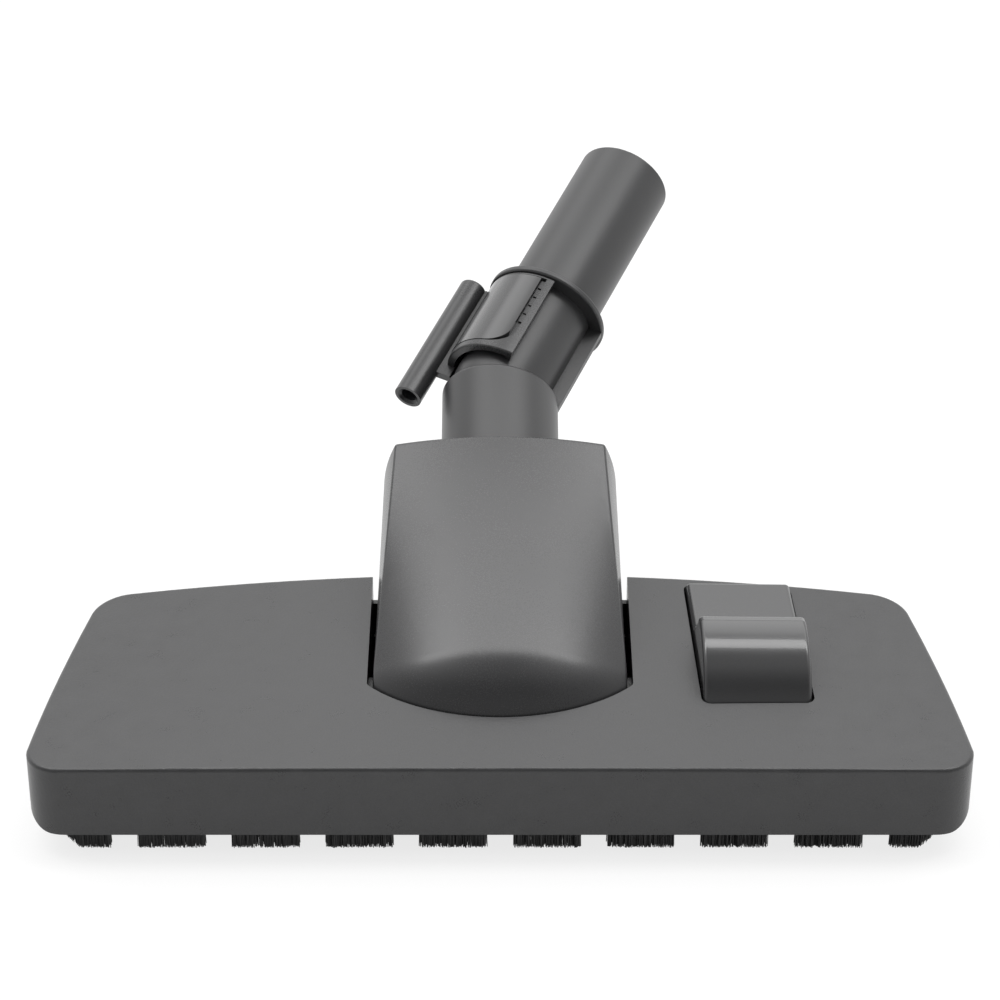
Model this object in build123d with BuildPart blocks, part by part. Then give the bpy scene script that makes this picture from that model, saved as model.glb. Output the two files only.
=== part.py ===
from build123d import *
from math import cos, degrees, radians, sin
import os

os.makedirs("parts", exist_ok=True)

# All lengths in millimetres, angles in degrees.
# X runs along the brush, Y from the front edge to the tube, Z up from the floor.

# Small overlap that makes one form run into the next
overlap = 1.0

# Base housing
front_y = -124.0
base_width = 280.0
base_depth = 94.0
waist_taper = 4.7
waist_depth = 50.0
rear_taper = 12.7
front_corner = 11.0
rear_corner = 12.0
sole_z = 8.0
front_top_z = 31.6
front_crown = 0.4
rear_top_z = 41.5
rear_side_z = 31.0
foot_radius = 8.0
base_wall = 2.2
top_edge = 1.2

# Neck tilt axis and shell
tilt_depth = 51.0
tilt_z = 23.0
neck_rise = 24.3
nose_radius = 28.5
nose_side_radius = 15.8
nose_sweep = 46.0
nose_mouth_sweep = 20.0
neck_front_half = 38.5
neck_front_foot_half = 39.2
neck_front_floor = -9.0
neck_length = 79.5
neck_rear_half = 33.2
neck_rear_shoulder = 24.5
neck_rear_foot_half = 36.8
neck_rear_floor = -8.0
neck_wall = 2.4
neck_edge = 1.2
neck_front_bulge = 0.3
neck_rear_bulge = 2.0
neck_gap = 1.2
neck_stop_z = 31.4
recess_half = 40.4
hood_open_length = 20.0
parting_height = 7.0

# Swivel stub, elbow and spigot tube
stub_height = 4.2
bend_distance = 116.0
elbow_bend = 25.0
stub_radius = 19.0
stub_bore = 15.0
stub_reach = 56.0
stub_top_drop = 3.0
stub_top_tilt = 7.0
stub_top_round = 1.5
socket_wall = 3.8
socket_length = 27.0
swivel_gap = 0.3
ring_inner_radius = 17.5
ring_outer_radius = 20.9
ring_width = 2.4
ring_setback = 14.0
ring_gap = 0.3
seal_inner_radius = 15.6
seal_thickness = 2.0
tube_radius = 16.0
tube_bore = 14.0
tube_length = 102.0
tube_rim = 0.7
flange_radius = 20.9
flange_top = 38.0
flange_thickness = 2.2
flange_edge = 0.6
flange_root = 0.8
fin_reach = 20.7
fin_thickness = 2.4
fin_foot = -12.0

# Parking hook clip on the elbow
clip_gap = 0.2
clip_radius = 20.2
clip_wall = 2.6
clip_edge = 0.6
clip_foot = 1.5
clip_top = 35.6
clip_half_angle = 100.0
clip_end_angle = 6.0
clip_roof = 1.8
window_start_angle = 13.0
window_end_angle = 93.0
window_depth = 1.5
window_foot = 4.0
window_top = 34.6
cover_end_angle = 87.5
cover_gap = 0.25
cover_seat = 0.05
cover_gap_angle = 1.0
cover_raise = 0.15
cover_corner = 7.0
rung_count = 5
rung_start = 11.2
rung_height = 3.2
rung_depth = 0.6
hook_offset = 26.5
hook_radius = 4.7
hook_bore = 2.7
hook_bore_depth = 40.0
hook_foot = -15.0
hook_top = 36.0
hook_cap_length = 10.5
hook_bevel = 0.9
web_inner_radius = 17.2
web_thickness = 3.0
web_foot = -2.6

# Foot pedal
pedal_x = 76.0
pedal_depth = 58.0
pedal_z = 20.0
pedal_yaw = 3.0
pedal_roll = 2.5
pedal_half = 16.5
pedal_radius = 28.5
pedal_skin = 2.2
pedal_side_gap = 0.7
pedal_front_back = -26.6
pedal_rear_gap = 1.2
pedal_opening_corner = 3.0
pedal_crest_angle = 96.0
pedal_nose_angle = 158.0
pedal_valley_back = 6.5
pedal_valley_up = 19.2
pedal_rear_back = 32.0
pedal_rear_up = 20.6
pedal_edge = 1.5
pedal_crest_round = 1.4
pedal_crest_flat = 3.0
pedal_crest_fall = 0.5
pedal_valley_round = 4.0
pedal_tail_height = 6.0
pedal_knee_height = 4.0
pedal_hub_drop = 2.0
pedal_hub_reach = 5.4
pedal_heel_back = 11.9
pedal_heel_up = 5.2
pedal_room_angle = 172.0
pedal_edge_low = 9.0
pedal_edge_high = 40.0
pedal_axle_radius = 1.5
pedal_pin_gap = 0.08
pedal_lug_thickness = 2.4
pedal_lug_half = 5.0
crank_arm = 25.0
crank_angle = -10.0
crank_radius = 1.6
crank_eye = 3.2

# Brush frame and bristles
bar_front_depth = 5.9
bar_rear_depth = 88.5
bar_width = 5.2
bar_bottom_z = 9.0
bar_front_top_z = 13.0
bar_rear_top_z = 12.2
bar_front_inset = 10.2
bar_rear_inset = 13.9
arm_inset = 2.9
arm_width = 5.0
arm_bottom_z = 11.2
arm_top_z = 14.2
tuft_space = 7.6
tuft_end_gap = 1.4
tuft_width = 3.4
tuft_socket = 2.0
tuft_gap = 0.1
tuft_pairs = 4
end_tuft_inset = 0.6
end_tuft_length = 13.0
end_tuft_bevel = 4.0
lug_thickness = 3.0
lug_slot_gap = 0.35
lug_slot_play = 1.2
lug_wall = 2.2

# Sole plate and suction channel
plate_thickness = 2.6
plate_front_depth = 10.2
plate_rear_depth = 84.2
plate_side_inset = 4.8
plate_corner = 8.0
mouth_front_depth = 26.0
mouth_rear_depth = 42.0
mouth_side_inset = 22.5
channel_wall = 1.8
channel_top_z = 19.5
chamber_front_depth = 19.5
chamber_front_top_z = 27.5
chamber_rear_depth = 80.0
chamber_rear_top_z = 20.0
chamber_wall = 2.0
chamber_half = 39.8
seal_top_z = 26.2
seal_width = 1.2
cheek_thickness = 2.4
cheek_front_depth = 43.0
cheek_lip_depth = 36.0
cheek_lip_z = 22.0
cheek_rear_depth = 84.0
tilt_pin_radius = 6.0
tilt_pin_gap = 0.08
tilt_pin_head = 2.0
tilt_pin_head_radius = 7.4
trunnion_radius = 9.0
trunnion_length = 6.0
boss_radius = 3.6
screw_radius = 1.4
screw_gap = 0.06
screw_head_radius = 3.0
screw_head_height = 1.8
screw_reach = 9.0
screw_inner_x = 50.0
screw_side_inset = 5.0
screw_front_depth = 15.5
screw_side_depth = 47.0
screw_rear_depth = 77.0
lint_length = 46.0
lint_width = 7.0
lint_thickness = 1.9
lint_pocket = 1.2
lint_x = 70.0
lint_depth = 52.0
neck_screw_x = 28.5
neck_screw_along = 66.0
neck_boss_radius = 3.2
neck_boss_top = 22.0
neck_screw_reach = 22.0

# Rear wheels
wheel_side_inset = 21.5
wheel_depth = 72.0
wheel_radius = 7.0
wheel_width = 7.0
wheel_edge = 1.0
wheel_drop = 1.5
wheel_bore = 1.6
wheel_axle_gap = 0.08
wheel_side_gap = 0.6
wheel_slot_gap = 1.2
wheel_post_width = 1.6
wheel_post_length = 8.0

# Detent spring under the pedal
spring_x = 67.0
spring_width = 7.0
spring_thickness = 0.5
spring_depth = 79.2
spring_foot_length = 8.0
spring_top_z = 28.0

# Places derived from the sizes above
rear_y = front_y + base_depth
waist_half = base_width / 2 - waist_taper
rear_half = base_width / 2 - rear_taper
tilt_y = front_y + tilt_depth
neck_along = Vector(0, cos(radians(neck_rise)), sin(radians(neck_rise)))
neck_up = Vector(0, -sin(radians(neck_rise)), cos(radians(neck_rise)))
side = Vector(1, 0, 0)
tilt_point = Vector(0, tilt_y, tilt_z)
bend_point = tilt_point + neck_along * bend_distance + neck_up * stub_height
tube_along = neck_along * cos(radians(elbow_bend)) + side * sin(radians(elbow_bend))
tube_outer = neck_along * sin(radians(elbow_bend)) - side * cos(radians(elbow_bend))
tube_frame = Plane(origin=bend_point, x_dir=tube_outer, z_dir=tube_along)
tilt_axis = Axis(tilt_point, side)
neck_height = Axis(tilt_point, neck_up)
tube_axis = Axis(bend_point, tube_along)
plate_top_z = sole_z + plate_thickness
plate_half = rear_half - plate_side_inset
mouth_half = plate_half - mouth_side_inset
wheel_x = plate_half - wheel_side_inset
bar_front_half = base_width / 2 - bar_front_inset
bar_rear_half = rear_half - bar_rear_inset
arm_x = bar_rear_half - arm_inset
tuft_pitch = (bar_rear_half - tuft_end_gap) / tuft_pairs
tuft_length = tuft_pitch - tuft_space
screw_places = [
    (screw_inner_x, screw_front_depth),
    (plate_half - screw_side_inset, screw_side_depth),
    (screw_inner_x, screw_rear_depth),
]
yaw = radians(pedal_yaw)
roll = radians(pedal_roll)
pedal_point = Vector(pedal_x, front_y + pedal_depth, pedal_z)
pedal_axis = Vector(cos(yaw) * cos(roll), sin(yaw) * cos(roll), -sin(roll))
pedal_back = Vector(-sin(yaw), cos(yaw), 0)
pedal_up = pedal_axis.cross(pedal_back)
pedal_side = Plane(origin=pedal_point, x_dir=pedal_back, z_dir=pedal_axis)
crank_back = crank_arm * cos(radians(crank_angle))
crank_up = crank_arm * sin(radians(crank_angle))
crank_point = pedal_point + pedal_back * crank_back + pedal_up * crank_up


def neck_place(along, up=0.0):
    """Point in the neck's middle plane, measured from the tilt axis."""
    return tilt_point + neck_along * along + neck_up * up


def neck_cross(along, up=0.0):
    """Plane across the neck: x to the side, y up from the neck line, facing the tilt axis."""
    return Plane(origin=neck_place(along, up), x_dir=side, z_dir=-neck_along)


def tube_radial(turn, along):
    """Plane facing outwards from the tube axis, its y direction along the tube."""
    out = tube_outer * cos(radians(turn)) + neck_up * sin(radians(turn))
    round_way = tube_along.cross(out)
    return Plane(origin=bend_point + tube_along * along, x_dir=round_way, z_dir=out)


def tube_slice(turn):
    """Plane through the tube axis: x is the radius at that angle, y the distance along."""
    out = tube_outer * cos(radians(turn)) + neck_up * sin(radians(turn))
    return Plane(origin=bend_point, x_dir=out, z_dir=out.cross(tube_along))


def polar(radius, turn):
    """Flat point at a radius and an angle."""
    return (radius * cos(radians(turn)), radius * sin(radians(turn)))


def base_section(depth, half, centre_z, side_z, low_z, foot):
    """Front elevation of the base at one depth, with a crowned top and rounded feet."""
    plane = Plane(origin=(0, front_y + depth, 0), x_dir=(1, 0, 0), z_dir=(0, -1, 0))
    with BuildSketch(plane) as section:
        with BuildLine():
            Polyline((-half, side_z), (-half, low_z), (half, low_z), (half, side_z))
            ThreePointArc((-half, side_z), (0, centre_z), (half, side_z))
        make_face()
        fillet(section.vertices().sort_by(Axis.Y)[:2], foot)
    return section.sketch


def base_outline(inset, low_z):
    """Plan of the base, drawn in from its outer edge by the inset."""
    half = base_width / 2
    with BuildSketch(Plane.XY.offset(low_z)) as plan:
        with BuildLine():
            Line((front_corner - half, front_y), (half - front_corner, front_y))
            for way in (1, -1):
                corner = (way * (half - front_corner), front_y)
                shoulder = (way * half, front_y + front_corner)
                RadiusArc(corner, shoulder, -way * front_corner)
                ThreePointArc(
                    shoulder,
                    (way * waist_half, front_y + waist_depth),
                    (way * rear_half, rear_y),
                )
            Line((-rear_half, rear_y), (rear_half, rear_y))
        make_face()
        fillet(plan.vertices().sort_by(Axis.Y)[-2:], rear_corner)
        if inset > 0:
            offset(amount=-inset, mode=Mode.REPLACE)
    return plan.sketch


def neck_section(along, half, shoulder, foot_half, floor, bulge, wall, upper_only=False):
    """Cross-section of the neck with a crowned top and bulged flanks, drawn in by the wall."""
    foot_z = floor + wall
    shoulder_z = shoulder - wall
    flank_half = (half + foot_half) / 2 + bulge - wall
    flank_z = (foot_z + shoulder_z) / 2
    with BuildSketch(neck_cross(along)) as section:
        with BuildLine():
            Line((wall - foot_half, foot_z), (foot_half - wall, foot_z))
            for way in (1, -1):
                ThreePointArc(
                    (way * (foot_half - wall), foot_z),
                    (way * flank_half, flank_z),
                    (way * (half - wall), shoulder_z),
                )
            ThreePointArc(
                (wall - half, shoulder_z),
                (0, nose_radius - wall),
                (half - wall, shoulder_z),
            )
        make_face()
        fillet(section.vertices().sort_by(Axis.Y)[-2:], neck_edge)
        if upper_only:
            Rectangle(
                4 * foot_half,
                4 * nose_radius,
                align=(Align.CENTER, Align.MIN),
                mode=Mode.INTERSECT,
            )
    return section.sketch


def neck_front(wall, upper_only=False):
    """Cross-section of the neck at the tilt axis; its upper part is also the nose's profile."""
    return neck_section(
        0,
        neck_front_half,
        nose_side_radius,
        neck_front_foot_half,
        neck_front_floor,
        neck_front_bulge,
        wall,
        upper_only,
    )


def neck_rear(along, wall):
    """Cross-section of the neck at its rear end."""
    return neck_section(
        along,
        neck_rear_half,
        neck_rear_shoulder,
        neck_rear_foot_half,
        neck_rear_floor,
        neck_rear_bulge,
        wall,
    )


def pocket_section():
    """Half section of the pocket that the barrel-shaped nose turns in."""
    with BuildSketch(neck_cross(0)) as section:
        with BuildLine():
            Polyline(
                (-recess_half, nose_side_radius + neck_gap),
                (-recess_half, 0),
                (recess_half, 0),
                (recess_half, nose_side_radius + neck_gap),
            )
            ThreePointArc(
                (-recess_half, nose_side_radius + neck_gap),
                (0, nose_radius + neck_gap),
                (recess_half, nose_side_radius + neck_gap),
            )
        make_face()
        fillet(section.vertices().sort_by(Axis.Y)[-2:], neck_edge)
    return section.sketch


# Base cover: lofted shell with the neck recess, the pedal opening, cheeks and bosses
half_block = max(base_width / 2, waist_half, rear_half) + overlap
with BuildPart() as base_outer:
    add(base_section(0, half_block, front_top_z, front_top_z - front_crown, sole_z, foot_radius))
    add(base_section(base_depth, half_block, rear_top_z, rear_side_z, sole_z, foot_radius))
    loft()
    add(base_outline(0, sole_z))
    extrude(amount=rear_top_z, mode=Mode.INTERSECT)
    fillet(base_outer.faces().sort_by(Axis.Z)[-1].edges(), top_edge)

half_room = half_block - base_wall
front_room_z = front_top_z - base_wall
rear_room_z = rear_top_z - base_wall
room_z = sole_z + base_wall
foot_room = foot_radius - base_wall
with BuildPart() as base_room:
    add(base_section(0, half_room, front_room_z, front_room_z - front_crown, room_z, foot_room))
    add(base_section(base_depth, half_room, rear_room_z, rear_side_z - base_wall, room_z, foot_room))
    loft()
    add(base_outline(base_wall, sole_z))
    extrude(amount=rear_top_z, mode=Mode.INTERSECT)

with BuildPart() as base_opening:
    add(base_outline(base_wall, 0))
    extrude(amount=room_z + foot_room)
    with Locations((0, front_y + base_depth / 2, 0)):
        Box(
            2 * (half_block - foot_radius - base_wall),
            base_depth,
            4 * room_z,
            mode=Mode.INTERSECT,
        )

boss_places = []
for place in screw_places:
    for way in (1, -1):
        boss_places.append((way * place[0], front_y + place[1], plate_top_z))

lug_inner = pedal_half + pedal_side_gap
with BuildPart() as base_ribs:
    for way in (1, -1):
        cheek_x = way * (recess_half + cheek_thickness / 2)
        with Locations((cheek_x, front_y + cheek_front_depth, plate_top_z)):
            Box(
                cheek_thickness,
                cheek_rear_depth - cheek_front_depth,
                rear_top_z,
                align=(Align.CENTER, Align.MIN, Align.MIN),
            )
        with Locations((cheek_x, front_y + cheek_lip_depth, cheek_lip_z)):
            Box(
                cheek_thickness,
                base_depth - cheek_lip_depth,
                rear_top_z,
                align=(Align.CENTER, Align.MIN, Align.MIN),
            )
    with Locations(*boss_places):
        Cylinder(boss_radius, rear_top_z, align=(Align.CENTER, Align.CENTER, Align.MIN))
    for start in (lug_inner, -lug_inner - pedal_lug_thickness):
        with BuildSketch(pedal_side.offset(start)):
            with BuildLine():
                Polyline(
                    (-pedal_lug_half, 0),
                    (-pedal_lug_half, rear_top_z),
                    (pedal_lug_half, rear_top_z),
                    (pedal_lug_half, 0),
                )
                ThreePointArc((-pedal_lug_half, 0), (0, -pedal_lug_half), (pedal_lug_half, 0))
            make_face()
        extrude(amount=pedal_lug_thickness)
    add(base_outer.part, mode=Mode.INTERSECT)

pedal_top = Plane(origin=pedal_point, x_dir=pedal_axis, z_dir=pedal_up)
opening_length = pedal_rear_back + pedal_rear_gap - pedal_front_back
with BuildPart() as base_cover:
    add(base_outer.part)
    add(base_room.part, mode=Mode.SUBTRACT)
    add(base_opening.part, mode=Mode.SUBTRACT)
    add(base_ribs.part)
    # Barrel-shaped pocket for the nose and the open recess behind it
    add(pocket_section())
    revolve(axis=tilt_axis, mode=Mode.SUBTRACT)
    with Locations((0, tilt_y, neck_stop_z)):
        Box(
            2 * recess_half,
            base_depth,
            rear_top_z,
            align=(Align.CENTER, Align.MIN, Align.MIN),
            mode=Mode.SUBTRACT,
        )
    # Pedal opening and its axle holes
    with BuildSketch(pedal_top.offset(pedal_lug_half + pedal_axle_radius)):
        with Locations((0, pedal_front_back + opening_length / 2)):
            RectangleRounded(2 * lug_inner, opening_length, pedal_opening_corner)
    extrude(amount=rear_top_z, mode=Mode.SUBTRACT)
    with BuildSketch(pedal_side):
        Circle(pedal_axle_radius + screw_gap)
    extrude(amount=lug_inner + 2 * pedal_lug_thickness, both=True, mode=Mode.SUBTRACT)
    # Screw holes in the bosses and tilt pin holes in the cheeks
    with Locations(*boss_places):
        Cylinder(
            screw_radius + screw_gap,
            screw_reach,
            align=(Align.CENTER, Align.CENTER, Align.MIN),
            mode=Mode.SUBTRACT,
        )
    with Locations(Location(tilt_point, (0, 90, 0))):
        Cylinder(tilt_pin_radius + screw_gap, 4 * recess_half, mode=Mode.SUBTRACT)
base_cover.part.label = "base_cover"
export_step(base_cover.part, "parts/base_cover.step")

# Sole plate: slide sole with the suction mouth, side channels and chamber walls
with BuildPart() as sole_plate:
    with BuildSketch(Plane.XY.offset(sole_z)):
        with Locations((0, front_y + (plate_front_depth + plate_rear_depth) / 2)):
            RectangleRounded(2 * plate_half, plate_rear_depth - plate_front_depth, plate_corner)
    extrude(amount=plate_thickness)
    mouth_mid = front_y + (mouth_front_depth + mouth_rear_depth) / 2
    mouth_span = mouth_rear_depth - mouth_front_depth
    channel_inner = recess_half + cheek_thickness + screw_gap
    channel_outer = mouth_half + channel_wall
    for way in (1, -1):
        with Locations((way * (channel_inner + channel_outer) / 2, mouth_mid, sole_z)):
            Box(
                channel_outer - channel_inner,
                mouth_span + 2 * channel_wall,
                channel_top_z - sole_z,
                align=(Align.CENTER, Align.CENTER, Align.MIN),
            )
        return_front = front_y + chamber_front_depth
        with Locations((way * (chamber_half + channel_inner) / 2, return_front, sole_z)):
            Box(
                channel_inner - chamber_half + 2 * channel_wall,
                mouth_front_depth - chamber_front_depth,
                channel_top_z - sole_z,
                align=(Align.CENTER, Align.MIN, Align.MIN),
            )
    with Locations((0, front_y + chamber_front_depth, sole_z)):
        Box(
            2 * chamber_half,
            chamber_wall,
            chamber_front_top_z - sole_z,
            align=(Align.CENTER, Align.MIN, Align.MIN),
        )
    with Locations((0, front_y + chamber_rear_depth, sole_z)):
        Box(
            2 * chamber_half,
            chamber_wall,
            chamber_rear_top_z - sole_z,
            align=(Align.CENTER, Align.MIN, Align.MIN),
        )
    # Suction mouth across the sole, roofed over at both sides
    with Locations((0, mouth_mid, 0)):
        Box(
            2 * mouth_half,
            mouth_span,
            channel_top_z - channel_wall,
            align=(Align.CENTER, Align.CENTER, Align.MIN),
            mode=Mode.SUBTRACT,
        )
    # Wheel slots with axle posts
    wheel_z = sole_z - wheel_drop + wheel_radius
    post_offset = wheel_width / 2 + wheel_side_gap + wheel_post_width / 2
    for way in (1, -1):
        with Locations((way * wheel_x, front_y + wheel_depth, sole_z)):
            Box(
                wheel_width + 2 * wheel_side_gap,
                2 * (wheel_radius + wheel_slot_gap),
                2 * plate_thickness,
                mode=Mode.SUBTRACT,
            )
        for turn in (1, -1):
            post_x = way * wheel_x + turn * post_offset
            with Locations((post_x, front_y + wheel_depth, sole_z)):
                Box(
                    wheel_post_width,
                    wheel_post_length,
                    wheel_z + wheel_post_length / 2 - sole_z,
                    align=(Align.CENTER, Align.CENTER, Align.MIN),
                )
    for way in (1, -1):
        with Locations(Location((way * wheel_x, front_y + wheel_depth, wheel_z), (0, 90, 0))):
            Cylinder(wheel_bore + screw_gap, 4 * wheel_width, mode=Mode.SUBTRACT)
        with Locations((way * lint_x, front_y + lint_depth, sole_z)):
            Box(lint_length, lint_width, 2 * lint_pocket, mode=Mode.SUBTRACT)
    # Countersunk screw holes
    for place in boss_places:
        with Locations((place[0], place[1], sole_z)):
            Cylinder(screw_radius + screw_gap, 4 * plate_thickness, mode=Mode.SUBTRACT)
            Cylinder(
                screw_head_radius + screw_gap,
                screw_head_height,
                align=(Align.CENTER, Align.CENTER, Align.MIN),
                mode=Mode.SUBTRACT,
            )
sole_plate.part.label = "sole_plate"
export_step(sole_plate.part, "parts/sole_plate.step")

with BuildPart() as sole_screws:
    for place in boss_places:
        with Locations((place[0], place[1], sole_z)):
            Cylinder(
                screw_head_radius,
                screw_head_height,
                align=(Align.CENTER, Align.CENTER, Align.MIN),
            )
            Cylinder(
                screw_radius,
                plate_thickness + screw_reach - overlap,
                align=(Align.CENTER, Align.CENTER, Align.MIN),
            )
sole_screws.part.label = "sole_screws"
export_step(sole_screws.part, "parts/sole_screws.step")


def lint_strip(way):
    """Velour strip that picks up threads, set in the sole beside the mouth."""
    with BuildPart() as strip:
        with Locations((way * lint_x, front_y + lint_depth, sole_z + lint_pocket)):
            Box(
                lint_length - 2 * tuft_gap,
                lint_width - 2 * tuft_gap,
                lint_thickness,
                align=(Align.CENTER, Align.CENTER, Align.MAX),
            )
    return strip.part


left_lint_strip = lint_strip(-1)
left_lint_strip.label = "left_lint_strip"
export_step(left_lint_strip, "parts/left_lint_strip.step")
right_lint_strip = lint_strip(1)
right_lint_strip.label = "right_lint_strip"
export_step(right_lint_strip, "parts/right_lint_strip.step")


def wheel(way):
    """Plain roller at the rear of the sole."""
    with BuildPart() as roller:
        with Locations(Location((way * wheel_x, front_y + wheel_depth, wheel_z), (0, 90, 0))):
            Cylinder(wheel_radius, wheel_width)
            Cylinder(wheel_bore + wheel_axle_gap, wheel_width, mode=Mode.SUBTRACT)
        fillet(roller.edges().filter_by(GeomType.CIRCLE).sort_by(SortBy.RADIUS)[-2:], wheel_edge)
    return roller.part


def wheel_axle(way):
    """Steel pin that carries one roller between its posts."""
    with BuildPart() as pin:
        with Locations(Location((way * wheel_x, front_y + wheel_depth, wheel_z), (0, 90, 0))):
            Cylinder(wheel_bore, 2 * post_offset + wheel_post_width)
    return pin.part


for word, way in (("left", -1), ("right", 1)):
    roller = wheel(way)
    roller.label = word + "_wheel"
    export_step(roller, "parts/" + word + "_wheel.step")
    pin = wheel_axle(way)
    pin.label = word + "_wheel_axle"
    export_step(pin, "parts/" + word + "_wheel_axle.step")


def tilt_pin(way):
    """Headed pin through the cheek into the neck."""
    inner = recess_half - trunnion_length + screw_gap
    with BuildPart() as pin:
        with BuildSketch(Plane(origin=tilt_point, x_dir=(0, 1, 0), z_dir=(way, 0, 0)).offset(inner)):
            Circle(tilt_pin_radius)
        extrude(amount=trunnion_length + cheek_thickness)
        with BuildSketch(
            Plane(origin=tilt_point, x_dir=(0, 1, 0), z_dir=(way, 0, 0)).offset(
                recess_half + cheek_thickness + screw_gap
            )
        ):
            Circle(tilt_pin_head_radius)
        extrude(amount=tilt_pin_head)
    return pin.part


for word, way in (("left", -1), ("right", 1)):
    pin = tilt_pin(way)
    pin.label = word + "_tilt_pin"
    export_step(pin, "parts/" + word + "_tilt_pin.step")

with BuildPart() as chamber_seal:
    with Locations((0, front_y + chamber_rear_depth + chamber_wall / 2, chamber_rear_top_z)):
        Box(
            2 * chamber_half,
            seal_width,
            seal_top_z - chamber_rear_top_z,
            align=(Align.CENTER, Align.CENTER, Align.MIN),
        )
chamber_seal.part.label = "chamber_seal"
export_step(chamber_seal.part, "parts/chamber_seal.step")

# Brush frame: front and rear bars on two side arms, with the slotted lug for the crank pin
tuft_centres = []
for number in range(tuft_pairs):
    for way in (1, -1):
        tuft_centres.append(way * tuft_pitch * (number + 0.5))
bar_front_y = front_y + bar_front_depth
bar_rear_y = front_y + bar_rear_depth
end_tuft_end = bar_front_half - end_tuft_inset
end_tuft_start = end_tuft_end - end_tuft_length
end_tuft_x = (end_tuft_start + end_tuft_end) / 2


def bristle_row(row_y, with_ends):
    """Row of bristle blocks; the end blocks are cut back at their outer lower corner."""
    with BuildPart() as row:
        for place in tuft_centres:
            with Locations((place, row_y, 0)):
                Box(
                    tuft_length,
                    tuft_width,
                    bar_bottom_z + tuft_socket,
                    align=(Align.CENTER, Align.CENTER, Align.MIN),
                )
        if with_ends:
            for way in (1, -1):
                with BuildSketch(Plane(origin=(0, row_y, 0), x_dir=(way, 0, 0), z_dir=(0, -way, 0))):
                    with BuildLine():
                        Polyline(
                            (end_tuft_start, 0),
                            (end_tuft_end - end_tuft_bevel, 0),
                            (end_tuft_end, end_tuft_bevel),
                            (end_tuft_end, bar_bottom_z + tuft_socket),
                            (end_tuft_start, bar_bottom_z + tuft_socket),
                            close=True,
                        )
                    make_face()
                extrude(amount=tuft_width / 2, both=True)
    return row.part


front_bristles = bristle_row(bar_front_y, True)
front_bristles.label = "front_bristles"
export_step(front_bristles, "parts/front_bristles.step")
rear_bristles = bristle_row(bar_rear_y, False)
rear_bristles.label = "rear_bristles"
export_step(rear_bristles, "parts/rear_bristles.step")

with BuildPart() as brush_frame:
    with Locations((0, bar_front_y, bar_bottom_z)):
        Box(
            2 * bar_front_half,
            bar_width,
            bar_front_top_z - bar_bottom_z,
            align=(Align.CENTER, Align.CENTER, Align.MIN),
        )
    with Locations((0, bar_rear_y, bar_bottom_z)):
        Box(
            2 * bar_rear_half,
            bar_width,
            bar_rear_top_z - bar_bottom_z,
            align=(Align.CENTER, Align.CENTER, Align.MIN),
        )
    with Locations(
        (arm_x, (bar_front_y + bar_rear_y) / 2, arm_bottom_z),
        (-arm_x, (bar_front_y + bar_rear_y) / 2, arm_bottom_z),
    ):
        Box(
            arm_width,
            bar_rear_y - bar_front_y,
            arm_top_z - arm_bottom_z,
            align=(Align.CENTER, Align.CENTER, Align.MIN),
        )
    # Slotted lug round the crank pin
    slot_half = crank_radius + lug_slot_gap
    slot_reach = slot_half + lug_slot_play
    lug_front = crank_point.Y - slot_reach - lug_wall
    lug_top = crank_point.Z + slot_half + lug_wall
    with Locations((crank_point.X, lug_front, bar_rear_top_z - overlap)):
        Box(
            lug_thickness,
            bar_rear_y - lug_front,
            lug_top - bar_rear_top_z + overlap,
            align=(Align.CENTER, Align.MIN, Align.MIN),
        )
    with Locations((crank_point.X, crank_point.Y, crank_point.Z)):
        Box(2 * lug_thickness, 2 * slot_reach, 2 * slot_half, mode=Mode.SUBTRACT)
    # Sockets for the bristle blocks
    for row_y in (bar_front_y, bar_rear_y):
        for place in tuft_centres:
            with Locations((place, row_y, bar_bottom_z)):
                Box(
                    tuft_length + 2 * tuft_gap,
                    tuft_width + 2 * tuft_gap,
                    2 * tuft_socket,
                    mode=Mode.SUBTRACT,
                )
    with Locations((end_tuft_x, bar_front_y, bar_bottom_z), (-end_tuft_x, bar_front_y, bar_bottom_z)):
        Box(
            end_tuft_length + 2 * tuft_gap,
            tuft_width + 2 * tuft_gap,
            2 * tuft_socket,
            mode=Mode.SUBTRACT,
        )
brush_frame.part.label = "brush_frame"
export_step(brush_frame.part, "parts/brush_frame.step")

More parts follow.
